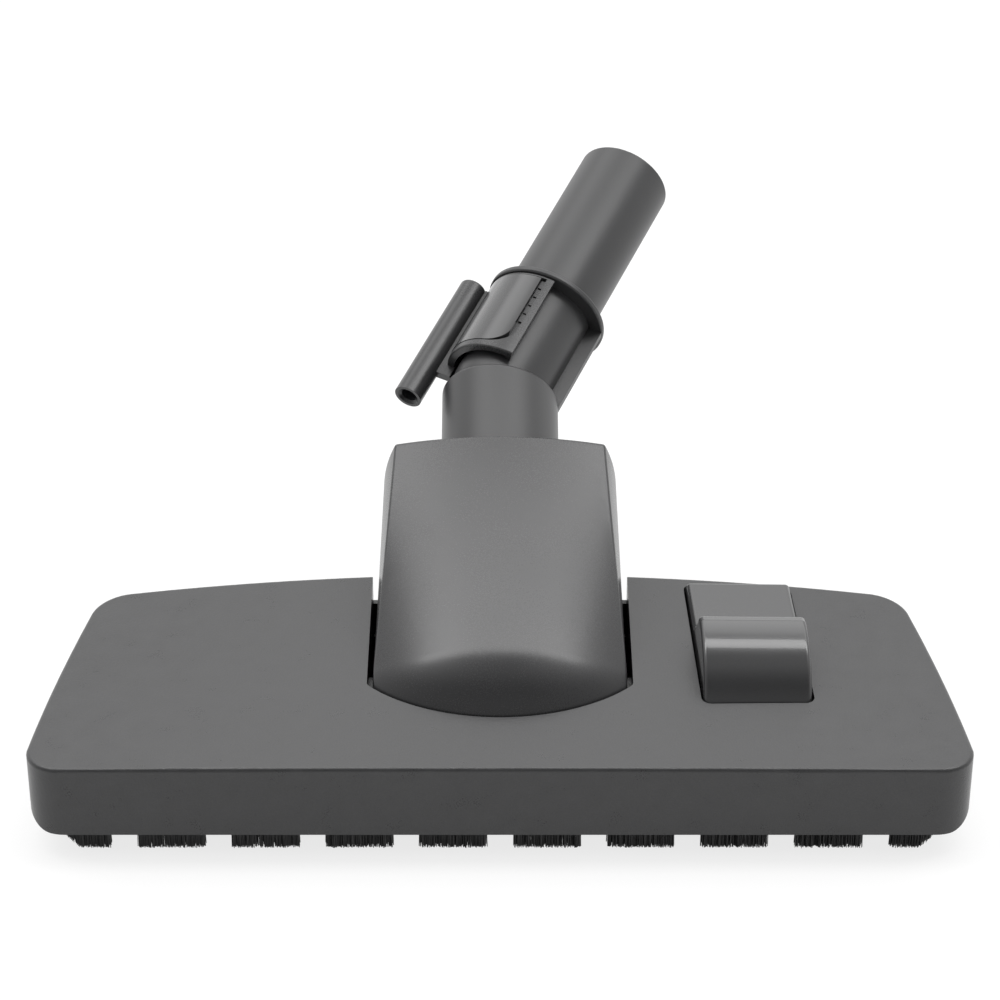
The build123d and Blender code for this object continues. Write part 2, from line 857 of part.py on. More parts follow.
# Pedal: rocker with a drum-shaped nose that turns about its axle
crest = polar(pedal_radius, pedal_crest_angle)
nose_end = polar(pedal_radius, pedal_nose_angle)
nose_mid = polar(pedal_radius, (pedal_crest_angle + pedal_nose_angle) / 2)
room_radius = pedal_radius - pedal_skin
room_crest = polar(room_radius, pedal_crest_angle + 1)
room_end = polar(room_radius, pedal_room_angle)
room_mid = polar(room_radius, (pedal_crest_angle + pedal_room_angle) / 2)
hub_rear = (pedal_lug_half, -pedal_hub_drop)
hub_front = (-pedal_lug_half, -pedal_hub_drop)
pedal_height = Axis(pedal_point, pedal_up)
with BuildPart() as pedal:
    with BuildSketch(pedal_side) as pedal_profile:
        with BuildLine():
            ThreePointArc(nose_end, nose_mid, crest)
            Polyline(
                crest,
                (crest[0] + pedal_crest_flat, crest[1] - pedal_crest_fall),
                (pedal_valley_back, pedal_valley_up),
                (pedal_rear_back, pedal_rear_up),
                (pedal_rear_back, pedal_rear_up - pedal_tail_height),
                (crank_back + crank_eye, crank_up),
            )
            ThreePointArc(
                (crank_back + crank_eye, crank_up),
                (crank_back, crank_up - crank_eye),
                (crank_back - crank_eye, crank_up),
            )
            Polyline(
                (crank_back - crank_eye, crank_up),
                (crank_back - crank_eye, crank_up + pedal_knee_height),
                hub_rear,
            )
            ThreePointArc(hub_rear, (0, -pedal_hub_reach), hub_front)
            Polyline(hub_front, (-pedal_heel_back, pedal_heel_up), nose_end)
        make_face()
        fillet(pedal_profile.vertices().sort_by(Axis.Y)[-2:], pedal_crest_round)
        fillet(pedal_profile.vertices().sort_by_distance((pedal_rear_back, pedal_rear_up))[:1], pedal_edge)
        valley = (pedal_valley_back, pedal_valley_up)
        fillet(pedal_profile.vertices().sort_by_distance(valley)[:1], pedal_valley_round)
    extrude(amount=pedal_half, both=True)
    pedal_ends = pedal.faces().filter_by(Axis(pedal_point, pedal_axis)).edges()
    fillet(pedal_ends.filter_by_position(pedal_height, pedal_edge_low, pedal_edge_high), pedal_edge)
    # Hollow under the skin, open below
    with BuildSketch(pedal_side):
        with BuildLine():
            ThreePointArc(room_end, room_mid, room_crest)
            Polyline(
                room_crest,
                (room_crest[0] + pedal_crest_flat - overlap, room_crest[1] - pedal_crest_fall),
                (pedal_valley_back - overlap, pedal_valley_up - pedal_skin),
                (pedal_rear_back - pedal_skin, pedal_rear_up - pedal_skin),
                (pedal_rear_back - pedal_skin, -crank_arm),
                (room_end[0], -crank_arm),
                room_end,
            )
        make_face()
    extrude(amount=pedal_half - pedal_skin, both=True, mode=Mode.SUBTRACT)
    with BuildSketch(pedal_side):
        Circle(pedal_axle_radius + pedal_pin_gap)
        with Locations((crank_back, crank_up)):
            Circle(crank_radius + screw_gap)
    extrude(amount=2 * pedal_half, both=True, mode=Mode.SUBTRACT)
pedal.part.label = "pedal"
export_step(pedal.part, "parts/pedal.step")

with BuildPart() as pedal_axle:
    with BuildSketch(pedal_side):
        Circle(pedal_axle_radius)
    extrude(amount=lug_inner + pedal_lug_thickness, both=True)
pedal_axle.part.label = "pedal_axle"
export_step(pedal_axle.part, "parts/pedal_axle.step")

with BuildPart() as crank_pin:
    with BuildSketch(pedal_side):
        with Locations((crank_back, crank_up)):
            Circle(crank_radius)
    extrude(amount=pedal_half - screw_gap, both=True)
crank_pin.part.label = "crank_pin"
export_step(crank_pin.part, "parts/crank_pin.step")

with BuildPart() as detent_spring:
    spring_y = front_y + spring_depth
    with Locations((spring_x, spring_y, plate_top_z)):
        Box(
            spring_width,
            spring_thickness,
            spring_top_z - plate_top_z,
            align=(Align.CENTER, Align.MAX, Align.MIN),
        )
        Box(
            spring_width,
            spring_foot_length,
            spring_thickness,
            align=(Align.CENTER, Align.MAX, Align.MIN),
        )
detent_spring.part.label = "detent_spring"
export_step(detent_spring.part, "parts/detent_spring.step")

# Neck: crowned shell behind a barrel-shaped nose, split into cover and lower half
with BuildPart() as neck_block:
    add(neck_front(0))
    add(neck_rear(neck_length, 0))
    loft()
    rear_face = neck_block.faces().sort_by(Axis(tilt_point, neck_along))[-1]
    fillet(rear_face.edges().filter_by_position(neck_height, 0, nose_radius + overlap), neck_edge)
    add(neck_front(0, True))
    revolve(axis=tilt_axis, revolution_arc=nose_sweep)

with BuildPart() as neck_room:
    add(neck_front(neck_wall))
    add(neck_rear(neck_length - neck_wall, neck_wall))
    loft()
    add(neck_front(neck_wall, True))
    revolve(axis=tilt_axis, revolution_arc=nose_sweep + nose_mouth_sweep)

neck_side = Plane(origin=tilt_point, x_dir=neck_along, z_dir=side)
neck_top = Plane(origin=tilt_point, x_dir=side, z_dir=neck_up)
parting = neck_top.offset(parting_height)
socket_radius = stub_radius + swivel_gap + socket_wall
stub_end = bend_distance - stub_reach
seal_end = stub_end - swivel_gap - seal_thickness
ring_along = neck_length - ring_setback
neck_screw_places = [
    (neck_screw_x, neck_screw_along),
    (-neck_screw_x, neck_screw_along),
]
with BuildPart() as neck_shell:
    add(neck_block.part)
    add(neck_room.part, mode=Mode.SUBTRACT)
    with BuildSketch(neck_cross(neck_length, stub_height)):
        Circle(socket_radius)
    extrude(amount=socket_length)
    with BuildSketch(neck_top.offset(neck_rear_floor)):
        with Locations(*neck_screw_places):
            Circle(neck_boss_radius)
    extrude(amount=neck_boss_top - neck_rear_floor)
    for start in (neck_front_half - trunnion_length, -neck_front_half):
        with BuildSketch(neck_side.offset(start)):
            Circle(trunnion_radius)
        extrude(amount=trunnion_length)
    # Swivel socket with its seal seat and ring groove
    with BuildSketch(neck_cross(neck_length + overlap, stub_height)):
        Circle(stub_radius + swivel_gap)
    extrude(amount=neck_length + overlap - seal_end, mode=Mode.SUBTRACT)
    with BuildSketch(neck_cross(neck_length, stub_height)):
        Circle(seal_inner_radius)
    extrude(amount=socket_length + overlap, mode=Mode.SUBTRACT)
    with BuildSketch(neck_cross(ring_along + ring_width / 2 + screw_gap, stub_height)):
        Circle(ring_outer_radius + screw_gap)
    extrude(amount=ring_width + 2 * screw_gap, mode=Mode.SUBTRACT)
    # Open underside of the hood above the suction chamber
    with BuildSketch(neck_side):
        with Locations((0, neck_front_floor)):
            Rectangle(hood_open_length, -2 * neck_front_floor, align=(Align.MIN, Align.CENTER))
    extrude(amount=neck_front_half - trunnion_length, both=True, mode=Mode.SUBTRACT)
    # Tilt pin holes and screw holes
    with BuildSketch(neck_side):
        Circle(tilt_pin_radius + tilt_pin_gap)
    extrude(amount=2 * neck_front_half, both=True, mode=Mode.SUBTRACT)
    with BuildSketch(neck_top.offset(2 * neck_rear_floor)):
        with Locations(*neck_screw_places):
            Circle(screw_radius + screw_gap)
    extrude(amount=neck_screw_reach - neck_rear_floor, mode=Mode.SUBTRACT)
    with BuildSketch(neck_top.offset(neck_rear_floor + screw_head_height)):
        with Locations(*neck_screw_places):
            Circle(screw_head_radius + screw_gap)
    extrude(amount=4 * neck_rear_floor, mode=Mode.SUBTRACT)

with BuildPart() as neck_cover:
    add(neck_shell.part)
    split(bisect_by=parting, keep=Keep.TOP)
neck_cover.part.label = "neck_cover"
export_step(neck_cover.part, "parts/neck_cover.step")

with BuildPart() as neck_base:
    add(neck_shell.part)
    split(bisect_by=parting, keep=Keep.BOTTOM)
neck_base.part.label = "neck_base"
export_step(neck_base.part, "parts/neck_base.step")

with BuildPart() as neck_screws:
    with BuildSketch(neck_top.offset(neck_rear_floor + screw_head_height)):
        with Locations(*neck_screw_places):
            Circle(screw_head_radius)
    extrude(amount=-screw_head_height)
    with BuildSketch(neck_top.offset(neck_rear_floor)):
        with Locations(*neck_screw_places):
            Circle(screw_radius)
    extrude(amount=neck_screw_reach + neck_rear_floor - 2 * overlap)
neck_screws.part.label = "neck_screws"
export_step(neck_screws.part, "parts/neck_screws.step")

with BuildPart() as swivel_ring:
    with BuildSketch(neck_cross(ring_along + ring_width / 2, stub_height)):
        Circle(ring_outer_radius)
        Circle(ring_inner_radius, mode=Mode.SUBTRACT)
    extrude(amount=ring_width)
swivel_ring.part.label = "swivel_ring"
export_step(swivel_ring.part, "parts/swivel_ring.step")

with BuildPart() as swivel_seal:
    with BuildSketch(neck_cross(seal_end + seal_thickness, stub_height)):
        Circle(stub_radius + swivel_gap)
        Circle(seal_inner_radius, mode=Mode.SUBTRACT)
    extrude(amount=seal_thickness)
swivel_seal.part.label = "swivel_seal"
export_step(swivel_seal.part, "parts/swivel_seal.step")

# Elbow: swivel stub with a slanted top, bent spigot tube, stop flange and fin
top_tilt = radians(stub_top_tilt)
stub_top = Plane(
    origin=bend_point - neck_along * stub_top_drop,
    z_dir=neck_along * cos(top_tilt) + side * sin(top_tilt),
)
fin_plane = Plane(origin=bend_point, x_dir=-tube_outer, z_dir=neck_up)
with BuildPart() as stub:
    with BuildSketch(neck_cross(stub_end, stub_height)):
        Circle(stub_radius)
    extrude(amount=-stub_reach - stub_radius)
    split(bisect_by=stub_top, keep=Keep.BOTTOM)
    fillet(stub.edges().sort_by(Axis(bend_point, neck_along))[-1:], stub_top_round)

flange_foot = flange_top - flange_thickness
root_top = flange_top + flange_root
root_rise = flange_root * (1 - cos(radians(45)))
with BuildPart() as elbow_tube:
    add(stub.part)
    with Locations(Location(bend_point)):
        Sphere(tube_radius)
    with BuildSketch(tube_frame):
        Circle(tube_radius)
    extrude(amount=tube_length)
    fillet(elbow_tube.edges().sort_by(tube_axis)[-1:], tube_rim)
    with BuildSketch(tube_slice(0)) as flange:
        with BuildLine():
            Polyline(
                (tube_radius, root_top),
                (tube_bore, root_top),
                (tube_bore, flange_foot),
                (flange_radius, flange_foot),
                (flange_radius, flange_top),
                (tube_radius + flange_root, flange_top),
            )
            ThreePointArc(
                (tube_radius + flange_root, flange_top),
                (tube_radius + root_rise, flange_top + root_rise),
                (tube_radius, root_top),
            )
        make_face()
        fillet(flange.vertices().sort_by(Axis.X)[-2:], flange_edge)
    revolve(axis=tube_axis)
    with BuildSketch(fin_plane):
        with BuildLine():
            Polyline(
                (tube_bore, fin_foot),
                (fin_reach, fin_foot),
                (fin_reach, flange_foot),
                (tube_bore, flange_foot),
                close=True,
            )
        make_face()
    extrude(amount=fin_thickness / 2, both=True)
    # Air way through the stub, the bend and the tube
    with BuildSketch(neck_cross(stub_end, stub_height)):
        Circle(stub_bore)
    extrude(amount=stub_bore - stub_reach, mode=Mode.SUBTRACT)
    with BuildSketch(neck_cross(stub_end, stub_height)):
        Circle(tube_bore)
    extrude(amount=-stub_reach, mode=Mode.SUBTRACT)
    with Locations(Location(bend_point)):
        Sphere(tube_bore, mode=Mode.SUBTRACT)
    with BuildSketch(tube_frame):
        Circle(tube_bore)
    extrude(amount=tube_length, mode=Mode.SUBTRACT)
    # Groove for the swivel ring
    with BuildSketch(neck_cross(ring_along + ring_width / 2 + ring_gap, stub_height)):
        Circle(stub_radius + overlap)
        Circle(ring_inner_radius - ring_gap, mode=Mode.SUBTRACT)
    extrude(amount=ring_width + 2 * ring_gap, mode=Mode.SUBTRACT)
elbow_tube.part.label = "elbow_tube"
export_step(elbow_tube.part, "parts/elbow_tube.step")

# Hook clip: open ring on the elbow with two cover windows and the parking hook rod
clip_inner = tube_radius + clip_gap
window_floor = clip_radius - window_depth


def ring_piece(start, end, inner, outer, foot, top, rim=0.0):
    """Part of a ring round the tube between two angles, two radii and two distances."""
    with BuildPart() as piece:
        with BuildSketch(tube_slice(start)) as profile:
            with BuildLine():
                Polyline((inner, foot), (outer, foot), (outer, top), (inner, top), close=True)
            make_face()
            if rim > 0:
                fillet(profile.vertices().sort_by(Axis.X)[-2:], rim)
        revolve(axis=tube_axis, revolution_arc=end - start)
    return piece.part


def panel_piece(start, end, inner, outer, foot, top, corner):
    """Ring piece with its lower corner at the far angle rounded off."""
    turn = end - degrees(corner / clip_radius)
    with BuildPart() as panel:
        add(ring_piece(start, end, inner, outer, foot, top))
        with BuildSketch(tube_radial(turn, foot + corner)):
            with Locations((0, -corner - overlap)):
                Rectangle(2 * corner, corner + overlap, align=(Align.MIN, Align.MIN))
            Circle(corner, mode=Mode.SUBTRACT)
        extrude(amount=2 * clip_radius, mode=Mode.SUBTRACT)
    return panel.part


hook_plane = Plane(origin=bend_point, x_dir=tube_outer, z_dir=-neck_up)
with BuildPart() as clip_windows:
    add(
        panel_piece(
            window_start_angle,
            window_end_angle,
            window_floor,
            clip_radius + overlap,
            window_foot,
            window_top,
            cover_corner + overlap,
        )
    )
    mirror(about=hook_plane)

with BuildPart() as hook_clip:
    add(
        ring_piece(
            -clip_half_angle,
            clip_half_angle,
            clip_inner,
            clip_radius,
            clip_foot,
            clip_top,
            clip_edge,
        )
    )
    add(
        ring_piece(
            clip_end_angle - clip_half_angle,
            clip_half_angle - clip_end_angle,
            clip_inner - overlap,
            clip_radius - clip_wall,
            clip_foot - overlap,
            clip_top - clip_roof,
        ),
        mode=Mode.SUBTRACT,
    )
    add(clip_windows.part, mode=Mode.SUBTRACT)
    with BuildSketch(hook_plane):
        with BuildLine():
            Polyline(
                (web_inner_radius, web_foot),
                (hook_offset, web_foot),
                (hook_offset, clip_top),
                (web_inner_radius, clip_top),
                close=True,
            )
        make_face()
    extrude(amount=web_thickness / 2, both=True)
    with BuildSketch(tube_frame.offset(hook_foot)):
        with Locations((hook_offset, 0)):
            Circle(hook_radius)
    extrude(amount=hook_top - hook_cap_length - hook_foot)
    # Rungs in the gap beside each cover
    rung_pitch = (window_top - window_foot - rung_start) / rung_count
    for number in range(rung_count):
        foot = window_foot + rung_start + number * rung_pitch
        rung = ring_piece(
            cover_end_angle + cover_gap_angle,
            window_end_angle,
            window_floor,
            window_floor + rung_depth,
            foot,
            foot + rung_height,
        )
        add(rung)
        add(mirror(rung, about=hook_plane, mode=Mode.PRIVATE))
    # Hollow rod, and room for its end cap
    with BuildSketch(tube_frame.offset(hook_foot)):
        with Locations((hook_offset, 0)):
            Circle(hook_bore)
    extrude(amount=hook_bore_depth, mode=Mode.SUBTRACT)
    rod_mouth = hook_clip.edges().filter_by(GeomType.CIRCLE).sort_by(tube_axis)[:2]
    chamfer(rod_mouth.sort_by(SortBy.RADIUS)[:1], hook_bevel)
    with BuildSketch(tube_frame.offset(hook_top - hook_cap_length)):
        with Locations((hook_offset, 0)):
            Circle(hook_radius + screw_gap)
    extrude(amount=hook_cap_length + overlap, mode=Mode.SUBTRACT)
hook_clip.part.label = "hook_clip"
export_step(hook_clip.part, "parts/hook_clip.step")

with BuildPart() as hook_cap:
    with BuildSketch(tube_frame.offset(hook_top - hook_cap_length)):
        with Locations((hook_offset, 0)):
            Circle(hook_radius)
    extrude(amount=hook_cap_length)
    fillet(hook_cap.edges().sort_by(tube_axis)[-1:], hook_bevel)
hook_cap.part.label = "hook_cap"
export_step(hook_cap.part, "parts/hook_cap.step")

with BuildPart() as front_hook_cover:
    add(
        panel_piece(
            window_start_angle + cover_gap_angle,
            cover_end_angle,
            window_floor + cover_seat,
            clip_radius + cover_raise,
            window_foot + cover_gap,
            window_top - cover_gap,
            cover_corner,
        )
    )
front_hook_cover.part.label = "front_hook_cover"
export_step(front_hook_cover.part, "parts/front_hook_cover.step")

with BuildPart() as rear_hook_cover:
    add(mirror(front_hook_cover.part, about=hook_plane, mode=Mode.PRIVATE))
rear_hook_cover.part.label = "rear_hook_cover"
export_step(rear_hook_cover.part, "parts/rear_hook_cover.step")
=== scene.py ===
"""Looks of a vacuum floor brush head: finishes, bristles, pile, screw heads, light and camera."""

import logging
import math
from dataclasses import dataclass, field
from enum import Enum

import bmesh
import bpy
from mathutils import Matrix, Vector


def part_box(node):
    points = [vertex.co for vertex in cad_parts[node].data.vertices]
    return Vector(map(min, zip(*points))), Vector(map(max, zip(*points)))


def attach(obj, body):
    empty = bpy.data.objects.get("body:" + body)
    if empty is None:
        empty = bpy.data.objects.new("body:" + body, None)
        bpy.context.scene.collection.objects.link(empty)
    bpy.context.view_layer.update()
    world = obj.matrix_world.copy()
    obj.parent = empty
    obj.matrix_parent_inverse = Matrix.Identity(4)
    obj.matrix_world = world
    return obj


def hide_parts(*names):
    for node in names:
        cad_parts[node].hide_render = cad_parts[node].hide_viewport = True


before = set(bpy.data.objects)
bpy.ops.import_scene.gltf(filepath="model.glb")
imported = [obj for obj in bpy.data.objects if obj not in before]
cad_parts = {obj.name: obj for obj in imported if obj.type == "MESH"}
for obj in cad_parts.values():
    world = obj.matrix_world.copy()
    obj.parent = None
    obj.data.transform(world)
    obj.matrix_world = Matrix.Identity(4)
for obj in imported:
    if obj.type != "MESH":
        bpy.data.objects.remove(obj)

LOG = logging.getLogger("brush_head")
MM = 0.001
WHITE = (1.0, 1.0, 1.0, 1.0)

Colour = tuple[float, float, float]
Point = tuple[float, float, float]


class Slot(Enum):
    """Slots of the record meant for the scene's own pieces; nothing here gives a piece a slot."""

    BRISTLE = "bristle"
    STEEL = "steel"
    VELOUR = "velour"


class Body(Enum):
    """Bodies that carry the scene's own pieces."""

    BASE = "base"
    BRUSH = "brush"
    NECK = "neck"


class NodeTree:
    """Small helper that adds and links nodes in a shader or geometry tree."""

    # Colour sockets of a Mix node, whose names repeat
    MIX_FIRST = 6
    MIX_SECOND = 7
    MIX_RESULT = 2

    def __init__(self, tree: bpy.types.NodeTree) -> None:
        """Keep the tree that the nodes go into.

        Args:
            tree: Tree of a material, world, group or modifier.
        """
        self.tree = tree

    def add(self, kind: str, **settings: object) -> bpy.types.Node:
        """Add one node and set its properties.

        Args:
            kind: Blender's identifier of the node type.
            **settings: Property values by name.

        Returns:
            The new node.
        """
        node = self.tree.nodes.new(kind)
        for name, value in settings.items():
            setattr(node, name, value)
        return node

    def link(self, source: bpy.types.NodeSocket, target: bpy.types.NodeSocket) -> None:
        """Join an output to an input."""
        self.tree.links.new(source, target)

    def noise(
        self,
        position: bpy.types.NodeSocket,
        scale: float,
        detail: float,
        rough: float,
    ) -> bpy.types.NodeSocket:
        """Add a noise texture.

        Args:
            position: Socket that gives the place on the surface.
            scale: Repeats per metre.
            detail: Number of finer layers.
            rough: Weight of the finer layers.

        Returns:
            The value output, about 0.5 on average.
        """
        node = self.add("ShaderNodeTexNoise")
        node.inputs["Scale"].default_value = scale
        node.inputs["Detail"].default_value = detail
        node.inputs["Roughness"].default_value = rough
        self.link(position, node.inputs["Vector"])
        return node.outputs["Fac"]

    def math(self, operation: str, first: object, second: object) -> bpy.types.NodeSocket:
        """Add a math node on two values.

        Args:
            operation: Blender's name of the operation.
            first: Socket or number.
            second: Socket or number.

        Returns:
            The value output.
        """
        node = self.add("ShaderNodeMath", operation=operation)
        for number, value in enumerate((first, second)):
            if isinstance(value, (int, float)):
                node.inputs[number].default_value = value
            else:
                self.link(value, node.inputs[number])
        return node.outputs[0]

    def spread(
        self,
        value: bpy.types.NodeSocket,
        low: float,
        high: float,
        start: float = 0.0,
        end: float = 1.0,
        smooth: bool = False,
    ) -> bpy.types.NodeSocket:
        """Map one range of a value onto another.

        Args:
            value: Socket with the value.
            low: Result at the start.
            high: Result at the end.
            start: Value at which the result is low.
            end: Value at which the result is high.
            smooth: Whether the change eases in and out.

        Returns:
            The mapped value.
        """
        easing = "SMOOTHSTEP" if smooth else "LINEAR"
        node = self.add("ShaderNodeMapRange", interpolation_type=easing)
        ends = {"From Min": start, "From Max": end, "To Min": low, "To Max": high}
        for name, number in ends.items():
            node.inputs[name].default_value = number
        self.link(value, node.inputs["Value"])
        return node.outputs["Result"]

    def blend(
        self,
        factor: bpy.types.NodeSocket,
        first: Colour,
        second: Colour,
    ) -> bpy.types.NodeSocket:
        """Blend two colours.

        Args:
            factor: Share of the second colour.
            first: Colour at 0.
            second: Colour at 1.

        Returns:
            The blended colour.
        """
        node = self.add("ShaderNodeMix", data_type="RGBA")
        node.inputs[self.MIX_FIRST].default_value = (*first, 1.0)
        node.inputs[self.MIX_SECOND].default_value = (*second, 1.0)
        self.link(factor, node.inputs[0])
        return node.outputs[self.MIX_RESULT]


def new_group(
    name: str,
    kind: str,
    inputs: dict[str, str],
    outputs: dict[str, str],
) -> bpy.types.NodeTree:
    """Make an empty node group with its sockets.

    Args:
        name: Name of the group.
        kind: Blender's identifier of the tree type.
        inputs: Socket types of the inputs by name.
        outputs: Socket types of the outputs by name.

    Returns:
        The new group.
    """
    group = bpy.data.node_groups.new(name, kind)
    for way, sockets in (("INPUT", inputs), ("OUTPUT", outputs)):
        for socket, socket_type in sockets.items():
            group.interface.new_socket(socket, in_out=way, socket_type=socket_type)
    return group


class SurfaceEffects:
    """Shader node groups that several finishes share."""

    GRAIN = "MouldedGrain"
    FINE_DETAIL = 3.0
    FINE_ROUGHNESS = 0.62
    CLOUD_DETAIL = 4.0
    PIT_SCALE = 0.55
    # Shares of the fine grain and of the clouds in each output
    FINE_HEIGHT, CLOUD_HEIGHT = 0.7, 1.8
    FINE_TONE, CLOUD_TONE, TONE_START = 0.9, 0.7, 0.15
    FINE_SHEEN, CLOUD_SHEEN = 0.4, 0.6
    NOISE_MIDDLE = 0.5

    @classmethod
    def grain(cls) -> bpy.types.NodeTree:
        """Fine spark-eroded grain of a moulded surface.

        Returns:
            Group with Position, Scale and Cloud inputs and Height, Tone and Sheen outputs.
        """
        found = bpy.data.node_groups.get(cls.GRAIN)
        if found:
            return found
        inputs = {
            "Position": "NodeSocketVector",
            "Scale": "NodeSocketFloat",
            "Cloud": "NodeSocketFloat",
        }
        outputs = dict.fromkeys(("Height", "Tone", "Sheen"), "NodeSocketFloat")
        group = new_group(cls.GRAIN, "ShaderNodeTree", inputs, outputs)
        tree = NodeTree(group)
        start = tree.add("NodeGroupInput")
        end = tree.add("NodeGroupOutput")
        fine = tree.add("ShaderNodeTexNoise")
        fine.inputs["Detail"].default_value = cls.FINE_DETAIL
        fine.inputs["Roughness"].default_value = cls.FINE_ROUGHNESS
        pits = tree.add("ShaderNodeTexVoronoi", feature="SMOOTH_F1")
        cloud = tree.add("ShaderNodeTexNoise")
        cloud.inputs["Detail"].default_value = cls.CLOUD_DETAIL
        for node in (fine, pits, cloud):
            tree.link(start.outputs["Position"], node.inputs["Vector"])
        tree.link(start.outputs["Scale"], fine.inputs["Scale"])
        pit_scale = tree.math("MULTIPLY", start.outputs["Scale"], cls.PIT_SCALE)
        tree.link(pit_scale, pits.inputs["Scale"])
        tree.link(start.outputs["Cloud"], cloud.inputs["Scale"])
        specks, clouds = fine.outputs["Fac"], cloud.outputs["Fac"]
        height = tree.math("MULTIPLY", specks, cls.FINE_HEIGHT)
        height = tree.math("ADD", height, pits.outputs["Distance"])
        height = tree.math("ADD", height, tree.math("MULTIPLY", clouds, cls.CLOUD_HEIGHT))
        tone = tree.math("ADD", tree.math("MULTIPLY", clouds, cls.CLOUD_TONE), cls.TONE_START)
        offset = tree.math("SUBTRACT", specks, cls.NOISE_MIDDLE)
        tone = tree.math("ADD", tone, tree.math("MULTIPLY", offset, cls.FINE_TONE))
        sheen = tree.math("MULTIPLY", clouds, cls.CLOUD_SHEEN)
        sheen = tree.math("ADD", sheen, tree.math("MULTIPLY", specks, cls.FINE_SHEEN))
        tree.link(height, end.inputs["Height"])
        tree.link(tone, end.inputs["Tone"])
        tree.link(sheen, end.inputs["Sheen"])
        return group


@dataclass(frozen=True)
class MouldedFinish:
    """Moulded plastic or rubber with a fine grain."""

    name: str
    colour: Colour
    tone: float = 0.10
    roughness: float = 0.45
    roughness_spread: float = 0.08
    grain_scale: float = 2600.0
    grain_depth: float = 0.00002
    cloud_scale: float = 22.0
    specular: float = 0.5
    coat: float = 0.0

    def material(self) -> bpy.types.Material:
        """Build the finish, or find it if it is there.

        Returns:
            The material.
        """
        found = bpy.data.materials.get(self.name)
        if found:
            return found
        made = bpy.data.materials.new(self.name)
        made.use_nodes = True
        tree = NodeTree(made.node_tree)
        shader = made.node_tree.nodes["Principled BSDF"]
        place = tree.add("ShaderNodeTexCoord")
        grain = tree.add("ShaderNodeGroup", node_tree=SurfaceEffects.grain())
        grain.inputs["Scale"].default_value = self.grain_scale
        grain.inputs["Cloud"].default_value = self.cloud_scale
        tree.link(place.outputs["Object"], grain.inputs["Position"])
        dark = tuple(c * (1 - self.tone) for c in self.colour)
        light = tuple(c * (1 + self.tone) for c in self.colour)
        tree.link(tree.blend(grain.outputs["Tone"], dark, light), shader.inputs["Base Color"])
        low = self.roughness - self.roughness_spread
        high = self.roughness + self.roughness_spread
        tree.link(tree.spread(grain.outputs["Sheen"], low, high), shader.inputs["Roughness"])
        bump = tree.add("ShaderNodeBump")
        bump.inputs["Distance"].default_value = self.grain_depth
        bump.inputs["Strength"].default_value = 1.0
        tree.link(grain.outputs["Height"], bump.inputs["Height"])
        tree.link(bump.outputs["Normal"], shader.inputs["Normal"])
        shader.inputs["Specular IOR Level"].default_value = self.specular
        shader.inputs["Coat Weight"].default_value = self.coat
        return made


@dataclass(frozen=True)
class SteelFinish:
    """Bright drawn steel with fine lines."""

    name: str
    colour: Colour
    dark_share: float = 0.85
    roughness: float = 0.32
    roughness_spread: float = 0.1
    line_scale: float = 900.0
    line_stretch: Point = (0.15, 1.0, 1.0)
    line_detail: float = 3.0
    line_roughness: float = 0.6

    def material(self) -> bpy.types.Material:
        """Build the finish, or find it if it is there.

        Returns:
            The material.
        """
        found = bpy.data.materials.get(self.name)
        if found:
            return found
        made = bpy.data.materials.new(self.name)
        made.use_nodes = True
        tree = NodeTree(made.node_tree)
        shader = made.node_tree.nodes["Principled BSDF"]
        place = tree.add("ShaderNodeTexCoord")
        stretch = tree.add("ShaderNodeMapping")
        stretch.inputs["Scale"].default_value = self.line_stretch
        tree.link(place.outputs["Object"], stretch.inputs["Vector"])
        lines = tree.noise(
            stretch.outputs["Vector"], self.line_scale, self.line_detail, self.line_roughness
        )
        dark = tuple(c * self.dark_share for c in self.colour)
        tree.link(tree.blend(lines, dark, self.colour), shader.inputs["Base Color"])
        low = self.roughness - self.roughness_spread
        high = self.roughness + self.roughness_spread
        tree.link(tree.spread(lines, low, high), shader.inputs["Roughness"])
        shader.inputs["Metallic"].default_value = 1.0
        return made


@dataclass(frozen=True)
class FibreFinish:
    """Fine fibres whose tone changes from one to the next."""

    name: str
    root: Colour
    tip: Colour
    roughness: float = 0.5
    roughness_drop: float = 0.1
    roughness_rise: float = 0.15
    streak_scale: float = 1500.0
    streak_stretch: Point = (1.0, 1.0, 0.02)
    streak_detail: float = 2.0
    streak_roughness: float = 0.5

    def material(self) -> bpy.types.Material:
        """Build the finish, or find it if it is there.

        Returns:
            The material.
        """
        found = bpy.data.materials.get(self.name)
        if found:
            return found
        made = bpy.data.materials.new(self.name)
        made.use_nodes = True
        tree = NodeTree(made.node_tree)
        shader = made.node_tree.nodes["Principled BSDF"]
        place = tree.add("ShaderNodeTexCoord")
        stretch = tree.add("ShaderNodeMapping")
        stretch.inputs["Scale"].default_value = self.streak_stretch
        tree.link(place.outputs["Object"], stretch.inputs["Vector"])
        streak = tree.noise(
            stretch.outputs["Vector"],
            self.streak_scale,
            self.streak_detail,
            self.streak_roughness,
        )
        tree.link(tree.blend(streak, self.root, self.tip), shader.inputs["Base Color"])
        low = self.roughness - self.roughness_drop
        high = self.roughness + self.roughness_rise
        tree.link(tree.spread(streak, low, high), shader.inputs["Roughness"])
        return made


